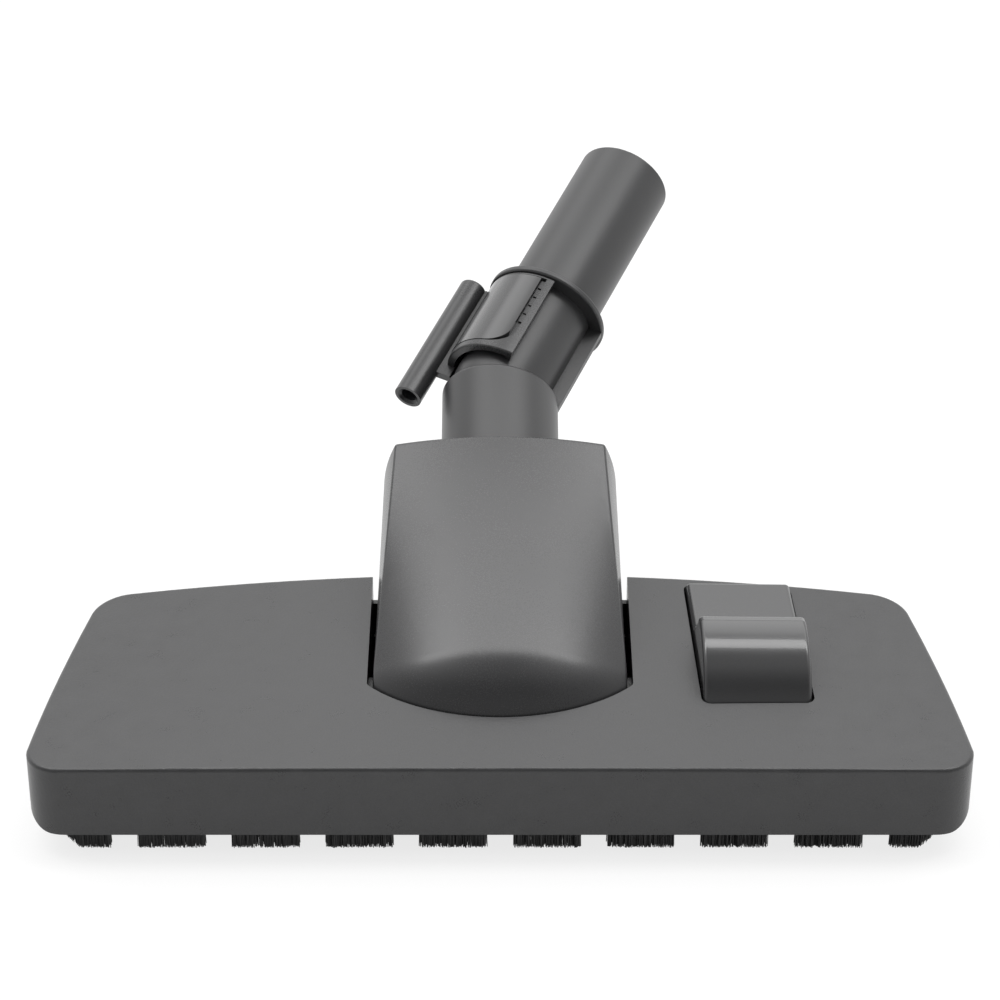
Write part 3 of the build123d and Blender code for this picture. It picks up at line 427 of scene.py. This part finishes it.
HOUSING = MouldedFinish(
    "housing_plastic",
    (0.034, 0.034, 0.035),
    tone=0.3,
    roughness=0.31,
    roughness_spread=0.13,
    grain_depth=0.00003,
    cloud_scale=130.0,
    specular=0.44,
)
NECK = MouldedFinish(
    "neck_plastic",
    (0.031, 0.031, 0.032),
    tone=0.22,
    roughness=0.27,
    roughness_spread=0.1,
    grain_depth=0.000005,
)
TUBE = MouldedFinish(
    "tube_plastic", (0.034, 0.034, 0.035), tone=0.2, roughness=0.37, grain_depth=0.000008
)
LOWER = MouldedFinish("lower_plastic", (0.018, 0.018, 0.019), roughness=0.4, grain_depth=0.000008)
HOOK = MouldedFinish(
    "hook_plastic", (0.032, 0.032, 0.033), tone=0.2, roughness=0.28, grain_depth=0.000008
)
GLOSS = MouldedFinish(
    "gloss_plastic",
    (0.034, 0.034, 0.035),
    tone=0.16,
    roughness=0.2,
    grain_depth=0.000003,
    coat=0.4,
)
SOLE = MouldedFinish("sole_plastic", (0.026, 0.026, 0.027), roughness=0.38, grain_depth=0.00001)
SEAL = MouldedFinish("seal_rubber", (0.02, 0.02, 0.02), roughness=0.7, grain_depth=0.00003)
WHEEL = MouldedFinish("wheel_rubber", (0.05, 0.05, 0.051), roughness=0.62, grain_depth=0.00003)
STEEL = SteelFinish("drawn_steel", (0.62, 0.62, 0.63))
BRISTLE = FibreFinish("bristle_fibre", (0.004, 0.004, 0.004), (0.022, 0.022, 0.023))
VELOUR = FibreFinish("velour_fibre", (0.16, 0.012, 0.014), (0.36, 0.03, 0.032), roughness=0.8)

Finish = MouldedFinish | SteelFinish | FibreFinish


class Dresser:
    """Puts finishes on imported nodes."""

    @staticmethod
    def dress(node: str, finish: Finish) -> None:
        """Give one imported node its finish.

        Args:
            node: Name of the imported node.
            finish: Finish that covers it.
        """
        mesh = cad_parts[node].data
        mesh.materials.clear()
        mesh.materials.append(finish.material())
        LOG.info("dressed %s with %s", node, finish.name)


class FibreTree:
    """Geometry tree that plants fibres on flat root patches and lets them hang down."""

    NAME = "PlantFibres"
    SIDES = 3
    TAPER = 0.75
    LEAST_TRIM = 0.00003
    TRIM_SEED_STEP = 7

    @classmethod
    def build(cls) -> bpy.types.NodeTree:
        """Build the tree, or find it if it is there.

        Returns:
            Tree with Density, Radius, Spread, Trim, Seed and Finish inputs.
        """
        found = bpy.data.node_groups.get(cls.NAME)
        if found:
            return found
        inputs = {
            "Geometry": "NodeSocketGeometry",
            "Density": "NodeSocketFloat",
            "Radius": "NodeSocketFloat",
            "Spread": "NodeSocketFloat",
            "Trim": "NodeSocketFloat",
            "Seed": "NodeSocketInt",
            "Finish": "NodeSocketMaterial",
        }
        outputs = {"Geometry": "NodeSocketGeometry"}
        group = new_group(cls.NAME, "GeometryNodeTree", inputs, outputs)
        tree = NodeTree(group)
        start = tree.add("NodeGroupInput")
        end = tree.add("NodeGroupOutput")
        plant = tree.add("GeometryNodeDistributePointsOnFaces", distribute_method="RANDOM")
        tree.link(start.outputs["Geometry"], plant.inputs["Mesh"])
        tree.link(start.outputs["Density"], plant.inputs["Density"])
        tree.link(start.outputs["Seed"], plant.inputs["Seed"])
        fibre = tree.add("GeometryNodeMeshCone", fill_type="NGON")
        fibre.inputs["Vertices"].default_value = cls.SIDES
        fibre.inputs["Side Segments"].default_value = 1
        fibre.inputs["Depth"].default_value = 1.0
        tree.link(start.outputs["Radius"], fibre.inputs["Radius Top"])
        tip = tree.math("MULTIPLY", start.outputs["Radius"], cls.TAPER)
        tree.link(tip, fibre.inputs["Radius Bottom"])
        drop = tree.add("GeometryNodeTransform")
        drop.inputs["Translation"].default_value = (0.0, 0.0, -1.0)
        tree.link(fibre.outputs["Mesh"], drop.inputs["Geometry"])
        lean = tree.add("FunctionNodeRandomValue", data_type="FLOAT_VECTOR")
        negative = tree.math("MULTIPLY", start.outputs["Spread"], -1.0)
        tree.link(negative, lean.inputs[0])
        tree.link(start.outputs["Spread"], lean.inputs[1])
        tree.link(start.outputs["Seed"], lean.inputs["Seed"])
        trim = tree.add("FunctionNodeRandomValue", data_type="FLOAT")
        trim.inputs[2].default_value = cls.LEAST_TRIM
        tree.link(start.outputs["Trim"], trim.inputs[3])
        trim_seed = tree.math("ADD", start.outputs["Seed"], cls.TRIM_SEED_STEP)
        tree.link(trim_seed, trim.inputs["Seed"])
        reach = tree.add("GeometryNodeInputNamedAttribute", data_type="FLOAT")
        reach.inputs["Name"].default_value = "reach"
        length = tree.math("SUBTRACT", reach.outputs["Attribute"], trim.outputs[1])
        scale = tree.add("ShaderNodeCombineXYZ")
        scale.inputs["X"].default_value = 1.0
        scale.inputs["Y"].default_value = 1.0
        tree.link(length, scale.inputs["Z"])
        scatter = tree.add("GeometryNodeInstanceOnPoints")
        tree.link(plant.outputs["Points"], scatter.inputs["Points"])
        tree.link(drop.outputs["Geometry"], scatter.inputs["Instance"])
        tree.link(lean.outputs[0], scatter.inputs["Rotation"])
        tree.link(scale.outputs["Vector"], scatter.inputs["Scale"])
        real = tree.add("GeometryNodeRealizeInstances")
        tree.link(scatter.outputs["Instances"], real.inputs["Geometry"])
        paint = tree.add("GeometryNodeSetMaterial")
        tree.link(real.outputs["Geometry"], paint.inputs["Geometry"])
        tree.link(start.outputs["Finish"], paint.inputs["Material"])
        tree.link(paint.outputs["Geometry"], end.inputs["Geometry"])
        return group


class ScrewTree:
    """Geometry tree that sets one cross-slot screw head on every point of a mesh."""

    NAME = "SetScrews"

    @classmethod
    def build(cls) -> bpy.types.NodeTree:
        """Build the tree, or find it if it is there.

        Returns:
            Tree with Head, Facing and Finish inputs.
        """
        found = bpy.data.node_groups.get(cls.NAME)
        if found:
            return found
        inputs = {
            "Geometry": "NodeSocketGeometry",
            "Head": "NodeSocketObject",
            "Facing": "NodeSocketRotation",
            "Finish": "NodeSocketMaterial",
        }
        outputs = {"Geometry": "NodeSocketGeometry"}
        group = new_group(cls.NAME, "GeometryNodeTree", inputs, outputs)
        tree = NodeTree(group)
        start = tree.add("NodeGroupInput")
        end = tree.add("NodeGroupOutput")
        head = tree.add("GeometryNodeObjectInfo")
        tree.link(start.outputs["Head"], head.inputs["Object"])
        points = tree.add("GeometryNodeMeshToPoints")
        tree.link(start.outputs["Geometry"], points.inputs["Mesh"])
        scatter = tree.add("GeometryNodeInstanceOnPoints")
        tree.link(points.outputs["Points"], scatter.inputs["Points"])
        tree.link(head.outputs["Geometry"], scatter.inputs["Instance"])
        tree.link(start.outputs["Facing"], scatter.inputs["Rotation"])
        real = tree.add("GeometryNodeRealizeInstances")
        tree.link(scatter.outputs["Instances"], real.inputs["Geometry"])
        paint = tree.add("GeometryNodeSetMaterial")
        tree.link(real.outputs["Geometry"], paint.inputs["Geometry"])
        tree.link(start.outputs["Finish"], paint.inputs["Material"])
        tree.link(paint.outputs["Geometry"], end.inputs["Geometry"])
        return group


class MeshMaker:
    """Ways to turn points and trees into finished meshes."""

    @staticmethod
    def place(name: str, mesh: bpy.types.Mesh) -> bpy.types.Object:
        """Put a mesh into the scene at the origin.

        Args:
            name: Name of the piece.
            mesh: Mesh with its place in its vertices.

        Returns:
            The new object.
        """
        made = bpy.data.objects.new(name, mesh)
        bpy.context.scene.collection.objects.link(made)
        return made

    @classmethod
    def grow(
        cls,
        name: str,
        seed_mesh: bpy.types.Mesh,
        tree: bpy.types.NodeTree,
        values: dict[str, object],
    ) -> bpy.types.Object:
        """Run a geometry tree on a mesh and keep the result as a plain mesh.

        Args:
            name: Name of the finished piece.
            seed_mesh: Mesh that the tree starts from.
            tree: Geometry tree.
            values: Input values by socket name.

        Returns:
            The finished piece, with no modifier.
        """
        seed = cls.place(name + "_seed", seed_mesh)
        change = seed.modifiers.new("grow", "NODES")
        change.node_group = tree
        for item in tree.interface.items_tree:
            if item.item_type == "SOCKET" and item.in_out == "INPUT" and item.name in values:
                change[item.identifier] = values[item.name]
        bpy.context.view_layer.update()
        ready = seed.evaluated_get(bpy.context.evaluated_depsgraph_get())
        mesh = bpy.data.meshes.new_from_object(ready)
        mesh.name = name
        bpy.data.objects.remove(seed)
        piece = cls.place(name, mesh)
        LOG.info("grew %s: %d faces", name, len(mesh.polygons))
        return piece


@dataclass
class RootPatch:
    """Flat rectangle that fibres grow from, with the reach at its two ends."""

    low: Point
    high: Point
    reach_low: float
    reach_high: float


@dataclass
class BrushRows:
    """Bristle rows of the brush, planted block by block along the frame bars."""

    root_z: float = 10.0 * MM
    edge: float = 0.25 * MM
    bevel: float = 4.0 * MM
    density: float = 12.0e6
    radius: float = 0.17 * MM
    spread: float = 0.035
    trim: float = 0.25 * MM
    pitch: float = 28.0 * MM
    block_length: float = 20.4 * MM
    end_length: float = 13.0 * MM
    pairs: int = 4

    def patches(self, node: str, with_ends: bool) -> list[RootPatch]:
        """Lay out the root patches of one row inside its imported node.

        Args:
            node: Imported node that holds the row's place and width.
            with_ends: Whether the row has the narrow blocks at its ends.

        Returns:
            One patch for each block, and two for each end block.
        """
        low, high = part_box(node)
        y_low, y_high = low.y + self.edge, high.y - self.edge
        reach = self.root_z - low.z
        spans: list[tuple[float, float, float]] = []
        for number in range(self.pairs):
            for way in (1, -1):
                middle = way * self.pitch * (number + 0.5)
                half = self.block_length / 2 - self.edge
                spans.append((middle - half, middle + half, reach))
        if with_ends:
            for way in (1, -1):
                outer = way * (high.x - self.edge)
                knee = way * (high.x - self.bevel)
                inner = way * (high.x - self.end_length + self.edge)
                spans.append((inner, knee, reach))
                spans.append((knee, outer, reach - self.bevel))
        return [
            RootPatch((start, y_low, self.root_z), (end, y_high, self.root_z), reach, last)
            for start, end, last in spans
        ]

    def build(self, node: str, name: str, with_ends: bool, seed: int) -> None:
        """Plant one row.

        Args:
            node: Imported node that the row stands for.
            name: Name of the piece.
            with_ends: Whether the row has the narrow blocks at its ends.
            seed: Seed of the planting.
        """
        mesh = patch_mesh(name, self.patches(node, with_ends))
        values = {
            "Density": self.density,
            "Radius": self.radius,
            "Spread": self.spread,
            "Trim": self.trim,
            "Seed": seed,
            "Finish": BRISTLE.material(),
        }
        row = MeshMaker.grow(name, mesh, FibreTree.build(), values)
        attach(row, Body.BRUSH.value)
        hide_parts(node)


def patch_mesh(name: str, patches: list[RootPatch]) -> bpy.types.Mesh:
    """Make the flat mesh that a fibre tree starts from.

    Args:
        name: Name of the mesh.
        patches: Rectangles in the head's frame.

    Returns:
        Mesh of rectangles with a reach value on every corner.
    """
    points: list[Point] = []
    faces: list[tuple[int, int, int, int]] = []
    reaches: list[float] = []
    for patch in patches:
        (x0, y0, z0), (x1, y1, _) = patch.low, patch.high
        start = len(points)
        points += [(x0, y0, z0), (x1, y0, z0), (x1, y1, z0), (x0, y1, z0)]
        reaches += [patch.reach_low, patch.reach_high, patch.reach_high, patch.reach_low]
        faces.append((start, start + 1, start + 2, start + 3))
    mesh = bpy.data.meshes.new(name + "_roots")
    mesh.from_pydata(points, [], faces)
    values = mesh.attributes.new("reach", "FLOAT", "POINT")
    values.data.foreach_set("value", reaches)
    mesh.update()
    return mesh


@dataclass
class VelourStrips:
    """Short pile on the two strips that pick up threads."""

    density: float = 3.0e6
    radius: float = 0.13 * MM
    spread: float = 0.35
    trim: float = 0.3 * MM
    pile: float = 1.1 * MM
    edge: float = 0.35 * MM
    first_seed: int = 40

    def build(self) -> None:
        """Plant the pile under both strips and dress their backings."""
        for number, word in enumerate(("left", "right")):
            node = word + "_lint_strip"
            Dresser.dress(node, VELOUR)
            low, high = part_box(node)
            root = low.z + self.pile
            patch = RootPatch(
                (low.x + self.edge, low.y + self.edge, root),
                (high.x - self.edge, high.y - self.edge, root),
                self.pile,
                self.pile,
            )
            values = {
                "Density": self.density,
                "Radius": self.radius,
                "Spread": self.spread,
                "Trim": self.trim,
                "Seed": self.first_seed + number,
                "Finish": VELOUR.material(),
            }
            mesh = patch_mesh(word + "_pile", [patch])
            pile = MeshMaker.grow(word + "_velour_pile", mesh, FibreTree.build(), values)
            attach(pile, Body.BASE.value)


@dataclass
class ScrewHeads:
    """Cross-slot screw heads in the sole and under the neck."""

    radius: float = 3.0 * MM
    sides: int = 32
    height: float = 1.8 * MM
    rim: float = 0.35 * MM
    rim_steps: int = 3
    slot_length: float = 3.4 * MM
    slot_width: float = 0.7 * MM
    slot_depth: float = 0.9 * MM
    shank: float = 1.4 * MM
    shank_sides: int = 16
    shank_start: float = 0.8
    reach: float = 8.0 * MM
    flat: float = 1e-6

    def head(self) -> bpy.types.Object:
        """Make the template screw, its head's face at the origin and facing -Z.

        Returns:
            The template object, which is removed once the screws are set.
        """
        shape = bmesh.new()
        bmesh.ops.create_cone(
            shape,
            cap_ends=True,
            segments=self.sides,
            radius1=self.radius,
            radius2=self.radius,
            depth=self.height,
        )
        bmesh.ops.translate(shape, verts=shape.verts, vec=(0, 0, self.height / 2))
        rim = [edge for edge in shape.edges if all(v.co.z < self.flat for v in edge.verts)]
        bmesh.ops.bevel(
            shape,
            geom=rim,
            offset=self.rim,
            segments=self.rim_steps,
            affect="EDGES",
            profile=0.5,
        )
        shank = bmesh.ops.create_cone(
            shape,
            cap_ends=True,
            segments=self.shank_sides,
            radius1=self.shank,
            radius2=self.shank,
            depth=self.reach,
        )
        shank_middle = self.height * self.shank_start + self.reach / 2
        bmesh.ops.translate(shape, verts=shank["verts"], vec=(0, 0, shank_middle))
        mesh = bpy.data.meshes.new("screw_head")
        shape.to_mesh(mesh)
        shape.free()
        head = MeshMaker.place("screw_head", mesh)
        for number, turn in enumerate((0.0, math.pi / 2)):
            blade = bmesh.new()
            bmesh.ops.create_cube(blade, size=1.0)
            size = Matrix.Diagonal((self.slot_length, self.slot_width, 2 * self.slot_depth, 1.0))
            turned = Matrix.Rotation(turn, 4, "Z") @ size
            bmesh.ops.transform(blade, matrix=turned, verts=blade.verts)
            cutter_mesh = bpy.data.meshes.new("slot_cutter")
            blade.to_mesh(cutter_mesh)
            blade.free()
            cutter = MeshMaker.place("slot_cutter_%d" % number, cutter_mesh)
            cut = head.modifiers.new("slot", "BOOLEAN")
            cut.operation = "DIFFERENCE"
            cut.solver = "EXACT"
            cut.object = cutter
            bpy.context.view_layer.update()
            ready = head.evaluated_get(bpy.context.evaluated_depsgraph_get())
            cut_mesh = bpy.data.meshes.new_from_object(ready)
            head.modifiers.clear()
            head.data = cut_mesh
            bpy.data.objects.remove(cutter)
        return head

    def build(
        self,
        node: str,
        name: str,
        body: Body,
        places: list[Point],
        facing: Vector,
    ) -> None:
        """Set the screws of one node.

        Args:
            node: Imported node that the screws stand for.
            name: Name of the piece.
            body: Body that carries the screws.
            places: Middle of each head's face.
            facing: Direction that the heads face.
        """
        mesh = bpy.data.meshes.new(name + "_places")
        mesh.from_pydata(places, [], [])
        head = self.head()
        turn = Vector((0, 0, -1)).rotation_difference(facing)
        values = {"Head": head, "Facing": turn.to_euler(), "Finish": STEEL.material()}
        screws = MeshMaker.grow(name, mesh, ScrewTree.build(), values)
        bpy.data.objects.remove(head)
        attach(screws, body.value)
        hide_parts(node)


@dataclass
class BaseHousing:
    """Base with its sole, wheels, strips and screws."""

    strips: VelourStrips = field(default_factory=VelourStrips)
    screws: ScrewHeads = field(default_factory=ScrewHeads)
    # Screws of one side in mm: distance from the middle, and place from front to back
    screw_places: tuple[tuple[float, float], ...] = ((50.0, -108.5), (117.5, -77.0), (50.0, -47.0))

    def build(self) -> None:
        """Dress the base and set what rides on it."""
        Dresser.dress("base_cover", HOUSING)
        Dresser.dress("sole_plate", SOLE)
        Dresser.dress("chamber_seal", SEAL)
        Dresser.dress("detent_spring", STEEL)
        Dresser.dress("pedal_axle", STEEL)
        for word in ("left", "right"):
            Dresser.dress(word + "_wheel", WHEEL)
            Dresser.dress(word + "_wheel_axle", STEEL)
            Dresser.dress(word + "_tilt_pin", SOLE)
        self.strips.build()
        sole_low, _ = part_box("sole_screws")
        places = []
        for x, y in self.screw_places:
            for way in (1, -1):
                places.append((way * x * MM, y * MM, sole_low.z))
        self.screws.build("sole_screws", "sole_screw_set", Body.BASE, places, Vector((0, 0, -1)))


@dataclass
class Brush:
    """Brush frame with its two bristle rows."""

    rows: BrushRows = field(default_factory=BrushRows)
    front_seed: int = 3
    rear_seed: int = 11

    def build(self) -> None:
        """Dress the frame and plant both rows."""
        Dresser.dress("brush_frame", SOLE)
        self.rows.build("front_bristles", "front_bristle_row", True, self.front_seed)
        self.rows.build("rear_bristles", "rear_bristle_row", False, self.rear_seed)


@dataclass
class FootPedal:
    """Rocking pedal with its crank pin."""

    def build(self) -> None:
        """Dress the pedal."""
        Dresser.dress("pedal", GLOSS)
        Dresser.dress("crank_pin", STEEL)


@dataclass
class Neck:
    """Tilting neck with its swivel parts."""

    screws: ScrewHeads = field(default_factory=ScrewHeads)
    tilt_point: Point = (0.0, -73.0 * MM, 23.0 * MM)
    rise: float = 24.3
    screw_side: float = 28.5 * MM
    screw_along: float = 66.0 * MM
    floor_drop: float = 8.0 * MM

    def build(self) -> None:
        """Dress both halves of the neck and what they hold."""
        Dresser.dress("neck_cover", NECK)
        Dresser.dress("neck_base", LOWER)
        rise = math.radians(self.rise)
        along = Vector((0.0, math.cos(rise), math.sin(rise)))
        down = Vector((0.0, math.sin(rise), -math.cos(rise)))
        middle = Vector(self.tilt_point) + along * self.screw_along + down * self.floor_drop
        places = [tuple(middle + Vector((way * self.screw_side, 0.0, 0.0))) for way in (1, -1)]
        self.screws.build("neck_screws", "neck_screw_set", Body.NECK, places, down)
        Dresser.dress("swivel_ring", SOLE)
        Dresser.dress("swivel_seal", SEAL)


@dataclass
class Elbow:
    """Swivelling tube with its hook clip."""

    def build(self) -> None:
        """Dress the tube, the clip and the clip's covers."""
        Dresser.dress("elbow_tube", TUBE)
        Dresser.dress("hook_clip", HOOK)
        Dresser.dress("hook_cap", HOOK)
        Dresser.dress("front_hook_cover", GLOSS)
        Dresser.dress("rear_hook_cover", GLOSS)


@dataclass
class Studio:
    """White sweep, soft light and the camera."""

    camera_place: Point = (0.0, -0.8438, 0.5381)
    camera_tilt: float = 60.0
    lens: float = 108.0
    sensor: float = 36.0
    floor_size: float = 40.0
    floor_colour: Colour = (0.93, 0.93, 0.93)
    key_power: float = 7.2
    key_width: float = 1.75
    key_depth: float = 0.23
    key_place: Point = (0.0, 0.056, 1.05)
    key_aim: Point = (0.0, 0.0, 0.03)
    floor_glow: float = 0.78
    front_low: float = 0.42
    front_high: float = 0.06
    rear_low: float = 1.35
    rear_peak: float = 1.7
    # Where the surroundings change, along the height or the depth of the view direction
    front_fade: tuple[float, float] = (0.3, 0.75)
    rear_rise: tuple[float, float] = (0.55, 0.75)
    rear_fall: tuple[float, float] = (0.88, 0.97)
    front_to_rear: tuple[float, float] = (-0.8, 0.8)

    def camera(self) -> None:
        """Set the camera where the photograph was taken from."""
        data = bpy.data.cameras.new("camera")
        data.lens = self.lens
        data.sensor_width = self.sensor
        made = bpy.data.objects.new("camera", data)
        made.location = self.camera_place
        made.rotation_euler = (math.radians(self.camera_tilt), 0.0, 0.0)
        bpy.context.scene.collection.objects.link(made)
        bpy.context.scene.camera = made

    def light(self) -> None:
        """Hang one large soft light above the head."""
        data = bpy.data.lights.new("key", "AREA")
        data.shape = "RECTANGLE"
        data.size = self.key_width
        data.size_y = self.key_depth
        data.energy = self.key_power
        made = bpy.data.objects.new("key", data)
        made.location = self.key_place
        aim = Vector(self.key_aim) - Vector(self.key_place)
        made.rotation_euler = aim.to_track_quat("-Z", "Y").to_euler()
        bpy.context.scene.collection.objects.link(made)

    def world(self) -> None:
        """Bright surroundings behind the head, darker towards the camera."""
        made = bpy.data.worlds.new("studio")
        bpy.context.scene.world = made
        made.use_nodes = True
        tree = NodeTree(made.node_tree)
        made.node_tree.nodes.clear()
        output = tree.add("ShaderNodeOutputWorld")
        place = tree.add("ShaderNodeTexCoord")
        split = tree.add("ShaderNodeSeparateXYZ")
        tree.link(place.outputs["Generated"], split.inputs["Vector"])
        height = split.outputs["Z"]
        ahead = tree.spread(height, self.front_low, self.front_high, *self.front_fade, True)
        rise = tree.spread(height, 0.0, self.rear_peak, *self.rear_rise, True)
        fall = tree.spread(height, 1.0, 0.0, *self.rear_fall, True)
        behind = tree.math("ADD", tree.math("MULTIPLY", rise, fall), self.rear_low)
        turn = tree.spread(split.outputs["Y"], 0.0, 1.0, *self.front_to_rear, True)
        step = tree.math("MULTIPLY", tree.math("SUBTRACT", behind, ahead), turn)
        soft = tree.add("ShaderNodeBackground")
        soft.inputs["Color"].default_value = WHITE
        tree.link(tree.math("ADD", ahead, step), soft.inputs["Strength"])
        tree.link(soft.outputs[0], output.inputs["Surface"])

    def floor(self) -> None:
        """Lay the white floor, clear when seen from below."""
        half = self.floor_size / 2
        mesh = bpy.data.meshes.new("floor")
        corners = [(-half, -half, 0), (half, -half, 0), (half, half, 0), (-half, half, 0)]
        mesh.from_pydata(corners, [], [(0, 1, 2, 3)])
        floor = MeshMaker.place("floor", mesh)
        paint = bpy.data.materials.new("white_floor")
        paint.use_nodes = True
        tree = NodeTree(paint.node_tree)
        paint.node_tree.nodes.clear()
        output = tree.add("ShaderNodeOutputMaterial")
        plain = tree.add("ShaderNodeBsdfDiffuse")
        plain.inputs["Color"].default_value = (*self.floor_colour, 1.0)
        glow = tree.add("ShaderNodeEmission")
        glow.inputs["Color"].default_value = WHITE
        path = tree.add("ShaderNodeLightPath")
        mix = tree.add("ShaderNodeMixShader")
        seen = path.outputs["Is Camera Ray"]
        for kind in ("Is Glossy Ray", "Is Transmission Ray"):
            seen = tree.math("MAXIMUM", seen, path.outputs[kind])
        tree.link(tree.math("MULTIPLY", seen, self.floor_glow), mix.inputs[0])
        tree.link(plain.outputs[0], mix.inputs[1])
        tree.link(glow.outputs[0], mix.inputs[2])
        below = tree.add("ShaderNodeNewGeometry")
        clear = tree.add("ShaderNodeBsdfTransparent")
        sides = tree.add("ShaderNodeMixShader")
        tree.link(below.outputs["Backfacing"], sides.inputs[0])
        tree.link(mix.outputs[0], sides.inputs[1])
        tree.link(clear.outputs[0], sides.inputs[2])
        tree.link(sides.outputs[0], output.inputs["Surface"])
        mesh.materials.append(paint)

    def build(self) -> None:
        """Set up the whole studio."""
        bpy.context.scene.view_settings.view_transform = "Standard"
        self.world()
        self.floor()
        self.light()
        self.camera()


def main() -> None:
    """Build every sub-assembly in order, then the studio."""
    logging.basicConfig(level=logging.INFO, format="%(message)s")
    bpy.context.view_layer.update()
    for part in (BaseHousing(), Brush(), FootPedal(), Neck(), Elbow(), Studio()):
        part.build()
        LOG.info("built %s", type(part).__name__)


if __name__ == "__main__":
    main()
